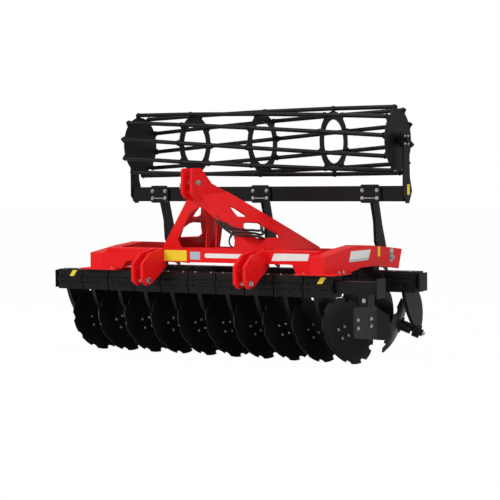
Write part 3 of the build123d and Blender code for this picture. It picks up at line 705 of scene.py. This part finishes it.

# Hydraulic hoses
# Three rubber hoses leave the mast beside its rib, hang across the window, pass over the right leg
# and end in couplers with red dust caps inside the stay's opening. A spare pair is looped below.
# Their edge colours are lighter copies of their own colours, used as a painted highlight on the edges.
rubber = coated(
    "hose_rubber", colour=(0.006, 0.006, 0.006), dust_colour=(0.04, 0.038, 0.035),
    edge_highlight_colour=(0.02, 0.02, 0.02), peel=0.15, edge=0.0005, dust=0.3, roughness=0.55)
cap_red = coated(
    "cap_plastic", colour=(0.55, 0.02, 0.015), dust_colour=(0.4, 0.1, 0.08), edge_highlight_colour=(0.6, 0.05, 0.04),
    peel=0.02, edge=0.0005, dust=0.1, roughness=0.4)
hose_radius = 9.0
hose_steps = 10
loop_hose_radius = 6.0
coupler_length = 46.0
coupler = [(11, -8), (13, -2), (13, 14), (11, 16), (11, 34), (14, 35), (14, 44), (12, 46)]
dust_cap = [(15.5, 0), (16.5, 4), (16.5, 20), (13, 24)]
hose_routes = (
    ((50, -160, 1160), (80, -262, 1138), (140, -282, 1098), (205, -262, 1046), (272, -262, 1000),
     (330, -180, 980), (352, -90, 975), (345, 10, 968), (322, 90, 975), (290, 150, 985)),
    ((50, -150, 1130), (90, -250, 1112), (150, -268, 1066), (215, -268, 1010), (285, -262, 972),
     (345, -176, 960), (364, -92, 952), (368, 0, 938), (340, 90, 945), (300, 150, 955)),
    ((50, -140, 1100), (95, -245, 1085), (155, -262, 1036), (220, -262, 982), (295, -262, 946),
     (352, -172, 938), (378, -94, 930), (384, -10, 916), (352, 80, 900), (300, 160, 880)),
)
loop_routes = (
    ((285, -262, 958), (245, -235, 930), (218, -215, 905), (208, -190, 868), (232, -170, 842),
     (262, -150, 850), (290, -140, 880)),
    ((285, -262, 972), (245, -235, 944), (218, -215, 905), (206.8, -190, 868), (232, -170, 842),
     (262, -150, 850), (290, -140, 880)),
)


def smooth_route(points):
    """Places on one smooth curve through a hose's few chosen points."""
    route = []
    for index in range(len(points) - 1):
        before = points[max(index - 1, 0)]
        first, second = points[index], points[index + 1]
        after = points[min(index + 2, len(points) - 1)]
        for step in range(hose_steps):
            t = step / hose_steps
            slope = (second - before) * t
            bend = (2 * before - 5 * first + 4 * second - after) * t ** 2
            twist = (3 * first - before - 3 * second + after) * t ** 3
            route.append(0.5 * (2 * first + slope + bend + twist))
    route.append(points[-1])
    return route


hoses = bmesh.new()
couplers = bmesh.new()
caps = bmesh.new()
for points in hose_routes:
    route = smooth_route([spot(*point) for point in points])
    bent_rod(hoses, route, hose_radius, 12)
    tip = (route[-1] - route[-2]).normalized()
    turned(couplers, route[-1], tip, coupler, 16)
    turned(caps, route[-1] + tip * coupler_length / mm_per_metre, tip, dust_cap, 18)
for points in loop_routes:
    bent_rod(hoses, smooth_route([spot(*point) for point in points]), loop_hose_radius)
piece("hydraulic_hoses", hoses, rubber, "frame")
piece("hose_couplers", couplers, zinc_plate, "frame")
piece("hose_caps", caps, cap_red, "frame")

# White plates
# Thin plain white film: a panel on the crossbeam that goes on over the bent web, a bar with round
# ends nearer the mast, and a panel on each wing's outer face.
sticker_thickness = 1.2
sticker_gap = 0.15
beam_face_y = -180.0
film_edge_highlight = 1.1
beam_panel = ((560, 751), (690, 754), (690, 808), (584, 807))
web_points = ((690.0, -180.0), (812.0, -216.0), (932.0, -262.0))
web_panel_strips = 6
web_panel_length = (214, 232)
web_panel_z = (754, 808)
web_panel_rise = (7, 4)
web_facing = (-0.30, -0.95, 0)
white_bar_middles = ((-8, 90), (312, -90))
white_bar_z = 780.0
white_bar_radius = 17.0
wing_panel = ((145, 736), (474, 737), (513, 815), (176, 815))


def vinyl(name, colour):
    """Glossy coloured film, a little dusty, its edges a lighter copy of its colour as a painted highlight.
    """
    edge_highlight_colour = tuple(min(1.0, film_edge_highlight * share) for share in colour)
    return coated(name, colour=colour, dust_colour=(0.6, 0.56, 0.5), edge_highlight_colour=edge_highlight_colour,
                  peel=0.02, edge=0.0004, dust=0.12, roughness=0.35)


def sticker(mesh, corners, out):
    """Add a thin sheet through a loop of places, standing just off its face."""
    out = Vector(out) / mm_per_metre
    close_rings(mesh, [[mesh.verts.new(corner + out * lift) for corner in corners]
                       for lift in (sticker_gap, sticker_thickness)])


def beam_sticker(mesh, corners, lift=0.0):
    """Add a sheet on the crossbeam's front face, through (x, z) corners."""
    sticker(mesh, [spot(x, beam_face_y - lift, z) for x, z in corners], (0, -1, 0))


def side_sticker(mesh, face_x, side, corners):
    """Add a sheet on an outer face of the left or right side, through (y, z) corners."""
    sticker(mesh, [spot(side * face_x, y, z) for y, z in corners], (side, 0, 0))


def web_face_y(x):
    """How far behind the front disc row the bent web's front face stands at x."""
    total = 0.0
    for near_x, near_y in web_points:
        share = near_y
        for other_x, _ in web_points:
            if other_x != near_x:
                share *= (x - other_x) / (near_x - other_x)
        total += share
    return total


white_vinyl = vinyl("white_vinyl", (0.85, 0.85, 0.84))
whites = bmesh.new()
beam_sticker(whites, beam_panel)
for step in range(web_panel_strips):
    strip = []
    for end, edge in ((0, 0), (1, 0), (1, 1), (0, 1)):
        reach = (step + end) / web_panel_strips
        x = web_points[0][0] + web_panel_length[edge] * reach
        strip.append(spot(x, web_face_y(x), web_panel_z[edge] + web_panel_rise[edge] * reach))
    sticker(whites, strip, web_facing)
bar_outline = []
for middle_x, first_angle in white_bar_middles:
    for step in range(13):
        angle = math.radians(first_angle + step * 15)
        bar_outline.append((middle_x + white_bar_radius * math.cos(angle),
                            white_bar_z + white_bar_radius * math.sin(angle)))
beam_sticker(whites, bar_outline)
for side in (-1, 1):
    side_sticker(whites, wing_outer_x, side, wing_panel)
piece("white_plates", whites, white_vinyl, "frame")

# Yellow slips
# Plain yellow film: a wide panel beside the mast, a slanted slip on a clamp at each end, a slip on
# each wing, and one on each of the roller's side plates.
yellow_beam_panel = ((-396, 735), (-188, 735), (-188, 817), (-396, 817))
clamp_slip_xs = (-1290, 958)
clamp_slip = ((0, 594), (42, 594), (76, 642), (34, 642))
clamp_slip_lift = 0.5
wing_slip = ((640, 755), (684, 755), (684, 830), (640, 830))
side_plate_slip = ((690, 1232), (736, 1232), (736, 1312), (690, 1312))

yellow_vinyl = vinyl("yellow_vinyl", (0.90, 0.68, 0.01))
yellows = bmesh.new()
beam_sticker(yellows, yellow_beam_panel)
clamp_front_y = toolbar_behind_row - clamp_depth / 2 - panel_depth - clamp_slip_lift
for slip_x in clamp_slip_xs:
    sticker(yellows, [spot(slip_x + x, clamp_front_y, z) for x, z in clamp_slip], (0, -1, 0))
for side in (-1, 1):
    side_sticker(yellows, wing_outer_x, side, wing_slip)
piece("yellow_slips", yellows, yellow_vinyl, "frame")
side_slips = bmesh.new()
for side in (-1, 1):
    side_sticker(side_slips, bearing_face_x, side, side_plate_slip)
piece("side_plate_slips", side_slips, yellow_vinyl, "roller_frame")

# Grey bands
# Plain grey film: a small panel on the crossbeam, a band along the foot of each wing's white panel,
# and a pointed patch over each fold pin.
grey_beam_panel = ((-156, 748), (-66, 748), (-66, 808), (-156, 808))
wing_band = ((147, 741), (476, 742), (481, 754), (151, 753))
wing_band_lift = 1.3
pin_patch = ((860, 790), (890, 732), (930, 790), (925, 806), (865, 806))

grey_vinyl = vinyl("grey_vinyl", (0.42, 0.52, 0.58))
greys = bmesh.new()
beam_sticker(greys, grey_beam_panel)
for side in (-1, 1):
    side_sticker(greys, wing_outer_x + wing_band_lift, side, wing_band)
    side_sticker(greys, wing_outer_x, side, pin_patch)
piece("grey_bands", greys, grey_vinyl, "frame")
